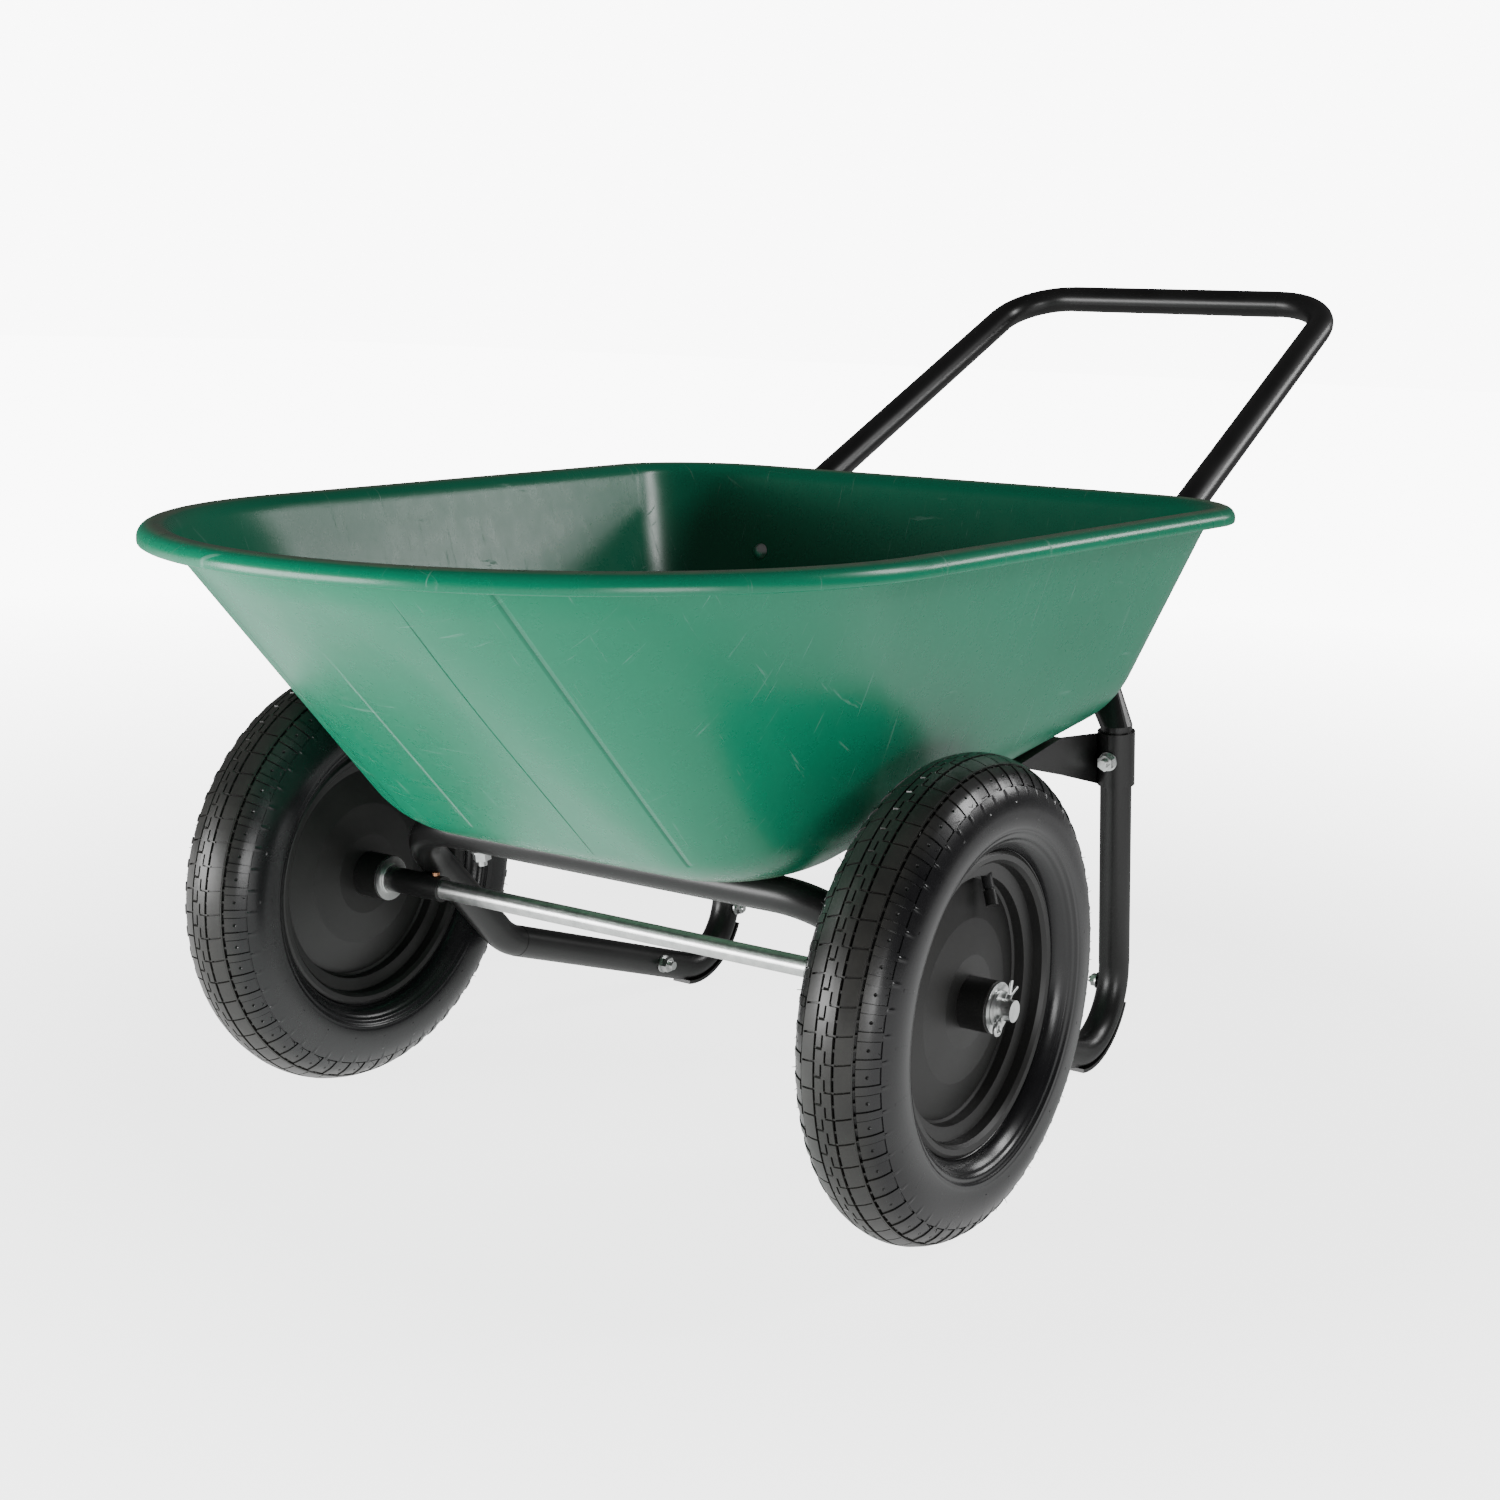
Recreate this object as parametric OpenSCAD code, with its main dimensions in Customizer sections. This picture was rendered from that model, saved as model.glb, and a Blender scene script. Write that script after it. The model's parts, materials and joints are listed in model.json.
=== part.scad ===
// Two-wheel garden wheelbarrow: moulded tray on a bent steel tube chassis.
// Millimetres. +X runs forward to the tray's nose, +Y to the left wheel, +Z up, ground at Z = 0.
// Lengths along X are measured from the axle; place() moves everything to the part's origin.

/* [Overall] */
// Distance from the part's origin forward to the axle
axle_x = 317; // [315:0.5:320]
// Half the distance between the two wheel planes
half_track = 288; // [286:0.5:292]
// Outside diameter of every chassis tube
tube_d = 28; // [27:0.5:29]
// Wall thickness of the chassis tubes
tube_wall = 1.5; // [1.2:0.1:2]

/* [Tray] */
// Wall thickness of the tray
tray_wall = 4; // [3:0.5:4.5]
// Radius of the rim's rounded nose
nose_r = 293.6; // [290:0.1:297]
// Forward offset of the nose arc's centre
nose_x = 76.9; // [74:0.1:79]
// Half width of the rim at its rear corners
rim_rear_w = 306.5; // [303:0.1:309]
// Height of the rim's crest above the axle
rim_z = 502.3; // [500:0.1:505]
// Lowers the rolled rim on the walls
rim_drop = 0; // [-1:0.1:2]

/* [Handle] */
// Height of the handle's crossbar centre
handle_z = 684.5; // [680:0.5:690]
// Rearward distance of the crossbar centre
handle_x = 1001.5; // [998:0.5:1006]
// Half the distance between the handle's arms at the crossbar
handle_w = 186; // [184:0.5:188]
// Angle by which each arm spreads outwards towards the tray
handle_splay = 1.7; // [1.5:0.1:2]
// Bend radius of the handle's corners
handle_r = 65; // [60:1:70]

/* [Legs and frame] */
// Half the distance between the legs
leg_w = 214; // [213:0.5:215]
// Bend radius of each foot
foot_r = 60; // [58:1:60]
// Bend radius of the front frame's upper corners
frame_r = 60; // [50:1:65]

/* [Wheels] */
// Outside radius of the tyre
wheel_r = 177.5; // [177:0.1:178]
// Radius of the axle rod
axle_r = 7.94; // [7.9:0.01:7.94]
// Half the length of the axle rod
axle_l = 337; // [335:0.5:340]
// Radius of the hub tube
hub_r = 19; // [19:0.1:19]

/* [Hidden] */
$fn = 64;
tube_r = tube_d / 2;
bore_r = tube_r - tube_wall;
rim_tilt = 0.745;
floor_tilt = 8.45;
round_r = 88.8;
floor_z = 255.9;
core_z = floor_z + round_r / cos(floor_tilt);
wall_x = -435.8;
wall_z = 371;
wall_tilt = -17.7;
arm_dip = 25.2;
bar_w = handle_w - handle_r * tan(45 - handle_splay / 2);
arm_len = 476;
handle_bolt_y = 183;
leg_bolt_y = 172;
leg_lean = 6.83;
foot_x = -393;
foot_z = 3 + tube_r + foot_r;
low_dip = 18;
frame_x = 27;
frame_z = 237.7;
frame_dip = 44.5;
low_bend_r = 70;
join_x = -300;
leg_x = foot_x - foot_r * cos(leg_lean);
leg_z = foot_z + foot_r * sin(leg_lean);
low_x = foot_x + foot_r * sin(low_dip);
low_z = foot_z - foot_r * cos(low_dip);
corner_x = (low_z - low_x * tan(low_dip) - frame_z + frame_x * tan(frame_dip)) / (tan(frame_dip) - tan(low_dip));
corner_z = low_z + (corner_x - low_x) * tan(low_dip);
corner_t = low_bend_r * tan((frame_dip - low_dip) / 2);
join_z = low_z + (join_x - low_x) * tan(low_dip);
side_len = (frame_x - corner_x) / cos(frame_dip) - corner_t;
low_len = (corner_x - join_x) / cos(low_dip) - corner_t;
m8_r = 4;
tray_steps = 16;
round_steps = 6;

// ---- shared helpers ----

module place() {
    translate([axle_x, 0, 0]) children();
}

module both() {
    for (s = [1, -1]) scale_side(s) children();
}

module scale_side(s) {
    if (s > 0) children();
    if (s < 0) mirror([0, 1, 0]) children();
}

// the rim's plan as four corner arcs [centre x, centre y, radius]: nose right, nose left, rear left, rear right
RIM_PLAN = [[nose_x, 0, nose_r], [nose_x, 0, nose_r],
    [-388.1, rim_rear_w - 99.1, 99.1], [-388.1, 99.1 - rim_rear_w, 99.1]];

// the same four arcs for the flat part of the floor
FLOOR_PLAN = [[16.2, -102.6, 41.4], [16.2, 102.6, 41.4], [-353, 165.8, 2], [-353, -165.8, 2]];

// the direction in plan of step i on corner arc c
function arc_angle(c, i) = 90 * (c - 1 + i / tray_steps);

function plan_point(plan, c, a, g) = [plan[c][0] + (plan[c][2] + g) * cos(a), plan[c][1] + (plan[c][2] + g) * sin(a)];

// a plan point set at height h in a plane tilted about the Y axis, its origin at height z0
function tilted(p, h, z0, tilt) = [p[0] * cos(tilt) + h * sin(tilt), p[1], z0 + h * cos(tilt) - p[0] * sin(tilt)];

// how far round the bottom's rounding goes before it meets the straight wall up to the rim
function sweep(c, a) =
    let (d = tilted(plan_point(RIM_PLAN, c, a, -12.7), -16, rim_z, rim_tilt)
            - tilted(plan_point(FLOOR_PLAN, c, a, 0), 0, core_z, floor_tilt))
    let (out = d * [cos(a) * cos(floor_tilt), sin(a), -cos(a) * sin(floor_tilt)])
    let (up = d * [sin(floor_tilt), 0, cos(floor_tilt)])
    90 + atan2(up, out) - acos(round_r / norm([up, out]));

// rings of the rounded bottom, wall surface drawn in by t, from the flat floor out to the side walls
function bottom_rings(t) = [for (k = [0:round_steps]) [for (c = [0:3]) for (i = [0:tray_steps])
    let (a = arc_angle(c, i), turn = sweep(c, a) * k / round_steps)
    tilted(plan_point(FLOOR_PLAN, c, a, (round_r - t) * sin(turn)), -(round_r - t) * cos(turn), core_z, floor_tilt)]];

function rim_rings(steps) = [for (s = steps) [for (c = [0:3]) for (i = [0:tray_steps])
    tilted(plan_point(RIM_PLAN, c, arc_angle(c, i), s[0]), s[1] - rim_drop, rim_z, rim_tilt)]];

function turned_round(list) = [for (i = [len(list) - 1:-1:0]) list[i]];

module floor_frame() {
    translate([0, 0, floor_z]) rotate([0, floor_tilt, 0]) children();
}

// local +Z climbs the tray's rear wall, local +X points into the tray
module wall_frame() {
    translate([wall_x, 0, wall_z]) rotate([0, wall_tilt, 0]) children();
}

module leg_frame() {
    translate([leg_x, leg_w, leg_z]) rotate([0, leg_lean, 0]) children();
}

// quarter turn of round bar about the local Z axis, starting at angle a0
module quarter(radius, a0, r) {
    rotate([0, 0, a0]) rotate_extrude(angle = 90, $fn = 96) translate([radius, 0]) circle(r = r, $fn = 64);
}

// arc of bar about the local Z axis, a little drawn down as bending leaves it, its ends set into the straights
module bend(radius, a0, a1, r) {
    rotate([0, 0, a0 - 0.3]) rotate_extrude(angle = a1 - a0 + 0.6, $fn = 96) translate([radius, 0]) circle(r = r - 0.25, $fn = 64);
}

// the same arc in the XZ plane about the point cx, cz
module elbow(cx, cz, radius, a0, a1, r) {
    translate([cx, 0, cz]) rotate([90, 0, 0]) bend(radius, a0, a1, r);
}

// ---- tray ----

// section of the rolled rim, an open hook: from the wall out under the lip, over the crest and down inside
RIM_SECTION = [[-12.7, -16], [-10.8, -9.5], [-7, -6], [-1, -4.6], [4, -5.2], [6.6, -8], [7.2, -13.2], [9.6, -13.8], [11, -12.2],
    [11, -8.6], [9.6, -4.8], [6.8, -1.9], [3, -0.4], [-1.5, 0], [-6.5, -0.8], [-11.4, -3.4], [-14.8, -7.6],
    [-12.7 - tray_wall, -13]];

module tray_body() {
    rings = concat(bottom_rings(0), rim_rings(RIM_SECTION), turned_round(bottom_rings(tray_wall)));
    n = 4 * (tray_steps + 1);
    last = len(rings) - 1;
    polyhedron([for (r = rings) each r], concat(
        [[for (i = [0:n - 1]) i]],
        [for (k = [0:last - 1]) for (i = [0:n - 1])
            let (j = (i + 1) % n) [k * n + i, (k + 1) * n + i, (k + 1) * n + j]],
        [for (k = [0:last - 1]) for (i = [0:n - 1])
            let (j = (i + 1) % n) [k * n + i, (k + 1) * n + j, k * n + j]],
        [[for (i = [n - 1:-1:0]) last * n + i]]));
}

module tray() {
    color([0.10, 0.42, 0.32]) place() difference() {
        tray_body();
        fastener_holes(m8_r + 0.3);
    }
}

// ---- handle ----

module handle_frame() {
    translate([-handle_x, 0, handle_z]) rotate([0, arm_dip, 0]) children();
}

// local +X runs down the arm from the end of its corner bend
module arm_frame() {
    handle_frame() translate([handle_r * (1 - sin(handle_splay)), bar_w + handle_r * cos(handle_splay), 0])
        rotate([0, 0, handle_splay]) children();
}

module handle_path(r) {
    handle_frame() {
        translate([0, -bar_w, 0]) rotate([-90, 0, 0]) cylinder(r = r, h = 2 * bar_w);
        both() translate([handle_r, bar_w, 0]) bend(handle_r, 90 + handle_splay, 180, r);
    }
    both() arm_frame() rotate([0, 90, 0]) cylinder(r = r, h = arm_len);
}

module handle() {
    color([0.03, 0.03, 0.03]) place() difference() {
        union() {
            handle_path(tube_r);
            both() {
                hull() {
                    arm_frame() translate([arm_len - 2, 0, 0]) rotate([0, 90, 0]) cylinder(r = tube_r + 0.15, h = 3, $fn = 32);
                    wall_frame() translate([-3.2, handle_bolt_y - 13.9, 74]) cube([2.8, 39.8, 4]);
                }
                wall_frame() translate([-3.3, handle_bolt_y - 14, 45]) cube([3, 40, 35]);
            }
        }
        handle_path(bore_r);
        fastener_holes(m8_r + 0.1);
    }
}

// ---- front frame ----

module frame_path(r, past) {
    translate([frame_x, 0, frame_z]) rotate([0, -frame_dip, 0]) {
        translate([0, -(leg_w - frame_r), 0]) rotate([-90, 0, 0]) cylinder(r = r, h = 2 * (leg_w - frame_r));
        both() {
            translate([-frame_r, leg_w - frame_r, 0]) quarter(frame_r, 0, r);
            translate([-side_len, leg_w, 0]) rotate([0, 90, 0]) cylinder(r = r, h = side_len - frame_r);
        }
    }
    both() translate([0, leg_w, 0]) {
        elbow(corner_x + corner_t * cos(frame_dip) - low_bend_r * sin(frame_dip),
            corner_z + corner_t * sin(frame_dip) + low_bend_r * cos(frame_dip),
            low_bend_r, low_dip - 90, frame_dip - 90, r);
        translate([join_x, 0, join_z]) rotate([0, 90 - low_dip, 0])
            translate([0, 0, -past]) cylinder(r = r, h = low_len + past);
    }
}

module front_frame() {
    color([0.03, 0.03, 0.03]) place() difference() {
        frame_path(tube_r, 0);
        frame_path(bore_r, 1);
        fastener_holes(m8_r + 0.1);
    }
}

module sleeve_bores(r) {
    translate([0, 0, wheel_r]) rotate([90, 0, 0]) translate([0, 0, -axle_l]) cylinder(r = r, h = 2 * axle_l);
}

module axle_sleeves() {
    color([0.03, 0.03, 0.03]) place() difference() {
        both() translate([0, 192, wheel_r]) rotate([-90, 0, 0]) cylinder(r = 10.65, h = 55.2);
        sleeve_bores(axle_r + 0.06);
        both() translate([0, 200, wheel_r]) cylinder(r = 2.5, h = 20);
    }
}

module set_screws() {
    color([0.72, 0.45, 0.30]) place() both() translate([0, 200, wheel_r]) {
        translate([0, 0, axle_r]) cylinder(r = 2.5, h = 10.65 - axle_r);
        translate([0, 0, 10.65]) cylinder(r = 3.2, h = 2.6);
    }
}

module axle() {
    color([0.78, 0.79, 0.80]) place() difference() {
        translate([0, 0, wheel_r]) rotate([90, 0, 0]) translate([0, 0, -axle_l]) cylinder(r = axle_r, h = 2 * axle_l);
        both() pin_frame() translate([0, 0, -20]) cylinder(r = 2, h = 40);
    }
}

// ---- legs ----

module leg_path(r, start) {
    elbow(foot_x, foot_z, foot_r, -180 - leg_lean, low_dip - 90, r);
    translate([join_x, 0, join_z]) rotate([0, -90 - low_dip, 0])
        translate([0, 0, start]) cylinder(r = r, h = (join_x - low_x) / cos(low_dip) - start);
    translate([leg_x, 0, leg_z]) rotate([0, leg_lean, 0]) cylinder(r = r, h = 226);
}

module leg() {
    difference() {
        union() {
            translate([0, leg_w, 0]) {
                leg_path(tube_r, 0);
                translate([join_x, 0, join_z]) rotate([0, 90 - low_dip, 0])
                    translate([0, 0, -2]) cylinder(r = bore_r, h = 42);
            }
            hull() {
                leg_frame() translate([0, 0, 224]) cylinder(r = tube_r + 0.15, h = 3, $fn = 32);
                wall_frame() translate([-3.5, leg_bolt_y - 19.9, 6]) cube([2.8, 39.8, 4]);
            }
            wall_frame() translate([-3.6, leg_bolt_y - 20, 4]) cube([3, 40, 38]);
        }
        translate([0, leg_w, 0]) {
            leg_path(bore_r, 4);
            translate([join_x, 0, join_z]) rotate([0, 90 - low_dip, 0])
                translate([0, 0, -6]) cylinder(r = bore_r - tube_wall, h = 60);
        }
        fastener_holes(m8_r + 0.1);
        foot_screw_frame() translate([0, 0, -8]) cylinder(r = 3, h = 12);
    }
}

module leg_left() {
    color([0.03, 0.03, 0.03]) place() leg();
}

module leg_right() {
    color([0.03, 0.03, 0.03]) place() mirror([0, 1, 0]) leg();
}

module skid_plates() {
    color([0.03, 0.03, 0.03]) place() both() translate([foot_x, leg_w, foot_z]) rotate([90, 0, 0]) rotate([0, 0, -156])
        rotate_extrude(angle = 78, $fn = 128) translate([foot_r + tube_r - 0.4, -10]) square([3.4, 20]);
}

module leg_brackets() {
    color([0.03, 0.03, 0.03]) place() difference() {
        both() {
            leg_frame() translate([0, 0, 172]) difference() {
                cylinder(r = tube_r + 2.6, h = 49);
                translate([0, 0, -1]) cylinder(r = tube_r + 0.05, h = 51);
            }
            difference() {
                translate([0, leg_w - tube_r - 0.1, 0]) rotate([90, 0, 0]) linear_extrude(2.5)
                    polygon([[-432, 252], [-351, 273], [-262, 294], [-347, 306.5], [-432, 299]]);
                leg_frame() translate([0, 0, 150]) cylinder(r = tube_r + 0.05, h = 100);
            }
            floor_frame() translate([-349, 136, -2.8]) cube([84, leg_w - tube_r - 136.1, 2.5]);
        }
        fastener_holes(m8_r + 0.1);
    }
}

// ---- axle ends ----

module ring(r, bore, y0, t) {
    translate([0, y0, wheel_r]) rotate([-90, 0, 0]) difference() {
        cylinder(r = r, h = t);
        translate([0, 0, -1]) cylinder(r = bore, h = t + 2);
    }
}

module axle_washers() {
    color([0.78, 0.79, 0.80]) place() both() {
        ring(13, axle_r + 0.06, half_track + 36.4, 2.5);
        ring(12.5, axle_r + 0.06, half_track - 40.8, 1.8);
    }
}

module pin_frame() {
    translate([0, half_track + 41.2, wheel_r]) rotate([0, -40, 0]) children();
}

module cotter_pins() {
    color([0.78, 0.79, 0.80]) place() both() pin_frame() {
        translate([0, 0, -11]) cylinder(r = 1.9, h = 22);
        translate([0, 0, -15.5]) rotate([90, 0, 0]) rotate_extrude() translate([4.2, 0]) circle(r = 1.6, $fn = 24);
        translate([0, 0, 10]) rotate([0, 28, 0]) cylinder(r = 1.3, h = 12, $fn = 24);
        translate([0, 0, 10]) rotate([0, -28, 0]) cylinder(r = 1.3, h = 12, $fn = 24);
    }
}

// ---- fasteners: each frame has +Z out of the head and its origin on the head's seat ----

module socket_bolt_frame() {
    translate([-326, leg_w + tube_r, low_z + (-326 - low_x) * tan(low_dip)]) rotate([-90, 0, 0]) children();
}

module bracket_bolt_frame() {
    leg_frame() translate([-tube_r - 2.6, 0, 197]) rotate([0, -90, 0]) children();
}

module leg_top_frame() {
    wall_frame() translate([tray_wall + 0.45, leg_bolt_y, 28]) rotate([0, 90, 0]) children();
}

module handle_bolt_frame() {
    wall_frame() translate([tray_wall + 0.8, handle_bolt_y, 58]) rotate([0, 90, 0]) children();
}

module flange_bolt_frame() {
    floor_frame() translate([-300, 148, tray_wall]) children();
}

module front_bolt_frame() {
    floor_frame() translate([frame_x / cos(floor_tilt) - 2.5, -134, tray_wall + 0.55]) children();
}

module foot_screw_frame() {
    translate([-452, leg_w - tube_r, 65]) rotate([90, 0, 0]) children();
}

// every bolt position with its grip length, child 0 bolt shape by grip
module at_bolts(part, r) {
    both() {
        socket_bolt_frame() fastener(part, 2 * tube_r, r);
        bracket_bolt_frame() fastener(part, 2 * tube_r + 5.2, r);
        leg_top_frame() fastener(part, tray_wall + 4.15, r);
        handle_bolt_frame() fastener(part, tray_wall + 4.2, r);
        flange_bolt_frame() fastener(part, tray_wall + 2.9, r);
    }
    front_bolt_frame() fastener(part, tray_wall + 2 * tube_r + 0.75, r);
}

module fastener(part, grip, r) {
    if (part == "bolt") {
        intersection() {
            translate([0, 0, -6]) sphere(r = 10);
            cylinder(r = 9, h = 5);
        }
        translate([0, 0, -grip - 13]) cylinder(r = m8_r, h = grip + 13);
    }
    if (part == "nut") translate([0, 0, -grip - 8.2]) difference() {
        cylinder(r = 7.5, h = 6.5, $fn = 6);
        translate([0, 0, -1]) cylinder(r = m8_r + 0.03, h = 9);
    }
    if (part == "washer") translate([0, 0, -grip - 1.65]) difference() {
        cylinder(r = 8.5, h = 1.6);
        translate([0, 0, -1]) cylinder(r = m8_r + 0.2, h = 4);
    }
    if (part == "hole") translate([0, 0, -grip - 20]) cylinder(r = r, h = grip + 40);
}

module fastener_holes(r) {
    at_bolts("hole", r);
}

module bolts() {
    color([0.78, 0.79, 0.80]) place() at_bolts("bolt", 0);
}

module nuts() {
    color([0.78, 0.79, 0.80]) place() at_bolts("nut", 0);
}

module washers() {
    color([0.78, 0.79, 0.80]) place() at_bolts("washer", 0);
}

module foot_screws() {
    color([0.78, 0.79, 0.80]) place() both() foot_screw_frame() {
        translate([0, 0, -1.4]) cylinder(r = 2.95, h = 1.5);
        translate([0, 0, 0.05]) cylinder(r = 7.5, h = 1.2);
        translate([0, 0, 1.2]) cylinder(r = 6, h = 5, $fn = 6);
        translate([0, 0, 6]) cylinder(r = 3, h = 3);
    }
}

// ---- wheels: profiles are [radius, distance out from the wheel plane] ----

RIM = [[19, 12.5], [34, 12.5], [60, 9], [80, 3.8], [87.5, 2], [89.5, 3.2], [90.5, 10.5], [100.5, 12.8],
    [101.5, 20], [104, 23], [108, 23.8], [110.3, 22.6], [111, 20.2], [109.2, 20.6], [107.5, 21.6],
    [105, 20.8], [103.6, 18.8], [102.6, 11.2], [92.6, 8.8], [91.6, 1.6], [90.4, 0], [84, 0],
    [79.5, 1.8], [59.6, 7], [33.8, 10.5], [19, 10.5]];

// the round outer section from crown to sidewall, then the bead, then the inside back up to the crown
TYRE_OUT = concat([for (a = [8:9:98]) [138 + 39.5 * cos(a), 39.5 * sin(a)]],
    [[124, 36.2], [116.5, 31.4], [112.8, 26.4], [111.4, 22], [111.2, 19.9], [109.2, 20.3], [107.5, 21.2], [105.2, 20.4],
    [104, 18.5], [103, 11]]);

TYRE_IN = [[106, 10.8], [110, 15], [117.5, 23.6], [127, 31.2], [138, 33.4], [148, 32.2], [157, 27.8], [164, 20.8],
    [168, 12], [169, 6]];

TUBE_OUT = [[168.6, 6], [167.6, 11.8], [163.6, 20.5], [156.7, 27.4], [147.8, 31.7], [138, 32.9], [127.3, 30.8],
    [118, 23.3], [110.4, 14.6], [105.8, 10], [102.4, 8.4], [93, 7.4], [92.6, 2]];

TUBE_IN = [[166.6, 5.6], [165.6, 11.2], [162, 19.2], [155.6, 25.6], [147.2, 29.5], [138, 30.7], [128.4, 28.8],
    [119.5, 21.6], [112, 13.4], [106.8, 8], [95.6, 5], [95, 2]];

function flip(p) = [for (i = [len(p) - 1:-1:0]) [p[i][0], -p[i][1]]];

module revolve() {
    translate([0, half_track, wheel_r]) rotate([-90, 0, 0]) rotate_extrude($fn = 128) children();
}

module tyre() {
    revolve() polygon(concat(TYRE_OUT, TYRE_IN, flip(TYRE_IN), flip(TYRE_OUT)));
}

module inner_tube() {
    revolve() difference() {
        polygon(concat(TUBE_OUT, flip(TUBE_OUT)));
        polygon(concat(TUBE_IN, flip(TUBE_IN)));
    }
}

// valve position: local +Z points from the rim's well towards the hub
module valve_frame(turn) {
    translate([0, half_track, wheel_r]) rotate([0, turn, 0]) translate([0, 6.2, 95]) rotate([-156, 0, 0]) children();
}

module rim_outer(turn) {
    difference() {
        revolve() polygon(RIM);
        valve_frame(turn) translate([0, 0, -6]) cylinder(r = 4.1, h = 16);
    }
}

module rim_inner() {
    revolve() polygon([for (i = [len(RIM) - 1:-1:0]) [RIM[i][0], -RIM[i][1]]]);
}

module hub() {
    revolve() translate([17.5, -36.5]) square([hub_r - 17.5, 70.4]);
}

module bearings() {
    revolve() polygon([[axle_r + 0.05, 36.1], [axle_r + 0.05, 24], [17.5, 24], [17.5, 33.9], [18.6, 33.9], [18.6, 36.1]]);
    revolve() polygon([[axle_r + 0.05, -38.7], [axle_r + 0.05, -26.6], [17.5, -26.6], [17.5, -36.5],
        [18.6, -36.5], [18.6, -38.7]]);
}

module valve_stem(turn) {
    valve_frame(turn) {
        translate([0, 0, 3.3]) cylinder(r = 4, h = 10.7);
        translate([0, 0, 14]) cylinder(r = 3.2, h = 9);
    }
}

module valve_cap(turn) {
    valve_frame(turn) difference() {
        translate([0, 0, 16]) cylinder(r = 4.6, h = 11);
        translate([0, 0, 15]) cylinder(r = 3.25, h = 8.1);
    }
}

module tyre_left() {
    color([0.05, 0.05, 0.05]) place() tyre();
}

module inner_tube_left() {
    color([0.08, 0.08, 0.08]) place() inner_tube();
}

module rim_outer_left() {
    color([0.03, 0.03, 0.03]) place() rim_outer(-17);
}

module rim_inner_left() {
    color([0.03, 0.03, 0.03]) place() rim_inner();
}

module hub_left() {
    color([0.03, 0.03, 0.03]) place() hub();
}

module bearings_left() {
    color([0.78, 0.79, 0.80]) place() bearings();
}

module valve_stem_left() {
    color([0.05, 0.05, 0.05]) place() valve_stem(-17);
}

module valve_cap_left() {
    color([0.05, 0.05, 0.05]) place() valve_cap(-17);
}

module tyre_right() {
    color([0.05, 0.05, 0.05]) place() mirror([0, 1, 0]) tyre();
}

module inner_tube_right() {
    color([0.08, 0.08, 0.08]) place() mirror([0, 1, 0]) inner_tube();
}

module rim_outer_right() {
    color([0.03, 0.03, 0.03]) place() mirror([0, 1, 0]) rim_outer(120);
}

module rim_inner_right() {
    color([0.03, 0.03, 0.03]) place() mirror([0, 1, 0]) rim_inner();
}

module hub_right() {
    color([0.03, 0.03, 0.03]) place() mirror([0, 1, 0]) hub();
}

module bearings_right() {
    color([0.78, 0.79, 0.80]) place() mirror([0, 1, 0]) bearings();
}

module valve_stem_right() {
    color([0.05, 0.05, 0.05]) place() mirror([0, 1, 0]) valve_stem(120);
}

module valve_cap_right() {
    color([0.05, 0.05, 0.05]) place() mirror([0, 1, 0]) valve_cap(120);
}

tray();
handle();
front_frame();
axle_sleeves();
set_screws();
axle();
leg_left();
leg_right();
skid_plates();
leg_brackets();
axle_washers();
cotter_pins();
bolts();
nuts();
washers();
foot_screws();
tyre_left();
inner_tube_left();
rim_outer_left();
rim_inner_left();
hub_left();
bearings_left();
valve_stem_left();
valve_cap_left();
tyre_right();
inner_tube_right();
rim_outer_right();
rim_inner_right();
hub_right();
bearings_right();
valve_stem_right();
valve_cap_right();
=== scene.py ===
import bpy
import bmesh
import json
import math
import random
from mathutils import Vector, Matrix


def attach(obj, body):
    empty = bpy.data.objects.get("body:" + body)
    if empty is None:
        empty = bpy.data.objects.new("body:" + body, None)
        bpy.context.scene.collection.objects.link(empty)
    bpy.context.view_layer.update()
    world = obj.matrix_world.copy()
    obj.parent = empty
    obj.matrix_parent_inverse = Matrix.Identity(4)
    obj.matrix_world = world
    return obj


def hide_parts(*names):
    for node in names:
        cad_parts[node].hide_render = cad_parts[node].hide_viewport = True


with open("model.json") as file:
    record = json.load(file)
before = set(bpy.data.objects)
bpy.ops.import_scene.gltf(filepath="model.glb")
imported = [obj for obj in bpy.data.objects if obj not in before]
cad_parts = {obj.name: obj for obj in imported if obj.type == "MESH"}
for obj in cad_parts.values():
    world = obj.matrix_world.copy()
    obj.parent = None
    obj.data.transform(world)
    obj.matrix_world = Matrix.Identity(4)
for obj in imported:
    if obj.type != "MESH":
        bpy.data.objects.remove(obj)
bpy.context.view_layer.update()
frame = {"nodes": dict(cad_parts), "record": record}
nodes = frame["nodes"]

MM = 0.001
AXLE = Vector((0.317, 0.0, 0.1775))
TRACK = 0.288
RIM_TILT = math.radians(0.745)
FLOOR_TILT = math.radians(8.45)


# ---------------------------------------------------------------- materials

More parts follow.
